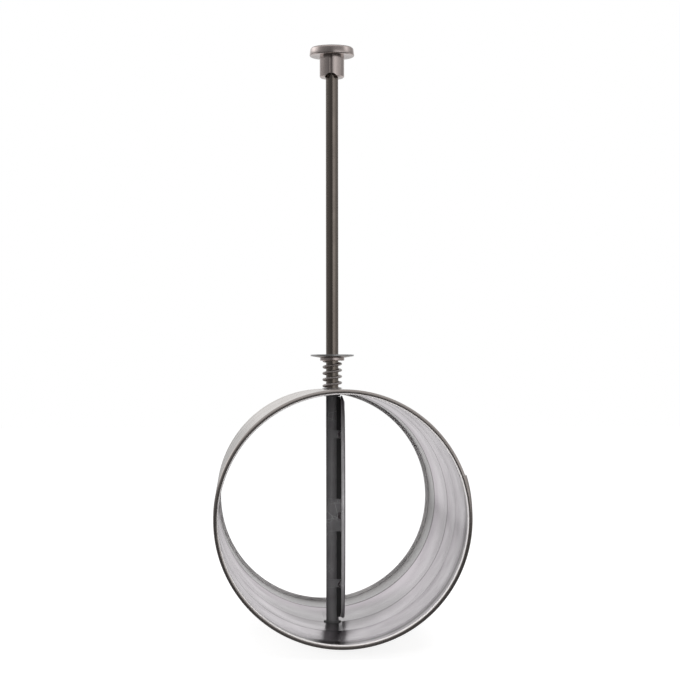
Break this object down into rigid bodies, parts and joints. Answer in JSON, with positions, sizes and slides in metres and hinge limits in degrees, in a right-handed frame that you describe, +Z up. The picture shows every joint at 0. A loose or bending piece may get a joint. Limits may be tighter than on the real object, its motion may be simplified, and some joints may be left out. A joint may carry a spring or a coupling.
{
  "type": "volume control damper",
  "caption": "Round duct damper: a beaded sleeve with a butterfly blade riveted to a sprung push-and-turn spindle that ends in a turned metal knob.",
  "frame": {"origin": "where the spindle's axis crosses the duct's axis, in the middle of the sleeve", "axes": "+Z up the spindle towards the knob, +Y along the duct from its front end to its rear end, +X to the right seen from the front"},
  "size_m": [0.15, 0.25, 0.3748],
  "materials": {
    "sleeve_steel": "galvanised sheet, satin, rolled round",
    "rod_steel": "bright drawn bar, slightly darkened",
    "knob_steel": "turned, satin",
    "spring_steel": "drawn spring wire",
    "plate_steel": "bright pressed sheet",
    "rivet_steel": "dull",
    "dark_coating": "dark grey satin coating",
    "blade_steel": "dark grey satin coating, brighter on the rolled edge",
    "black_nylon": "matt",
    "packing_rubber": "matt"
  },
  "bodies": {
    "duct": {"sleeve": "sleeve_steel", "top_bush": "black_nylon", "bottom_bush": "black_nylon"},
    "spring_seat": {"seat_washer": "spring_steel", "spring": "spring_steel"},
    "spindle": {"blade_shaft": "dark_coating", "rod": "rod_steel", "thrust_washer": "black_nylon", "bottom_washer": "spring_steel", "bottom_clip": "spring_steel", "spring_collar": "knob_steel", "spring_plate": "plate_steel", "cross_pin": "spring_steel", "knob_hub": "knob_steel", "knob_cap": "knob_steel", "knob_grub": "spring_steel", "blade": "blade_steel", "packing_strip": "packing_rubber", "upper_saddle": "dark_coating", "centre_saddle": "dark_coating", "lower_saddle": "dark_coating", "saddle_rivets": "rivet_steel"}
  },
  "joints": [
    {"name": "blade_turn", "type": "hinge", "parent": "duct", "child": "spring_seat", "pos_m": [0, 0, 0], "axis": [0, 0, 1], "continuous": true},
    {"name": "knob_press", "type": "slide", "parent": "spring_seat", "child": "spindle", "axis": [0, 0, -1], "range_m": [0, 0.0015], "stiffness_N_per_m": 12800, "springref_m": -0.003, "deforming": ["spring"]}
  ]
}
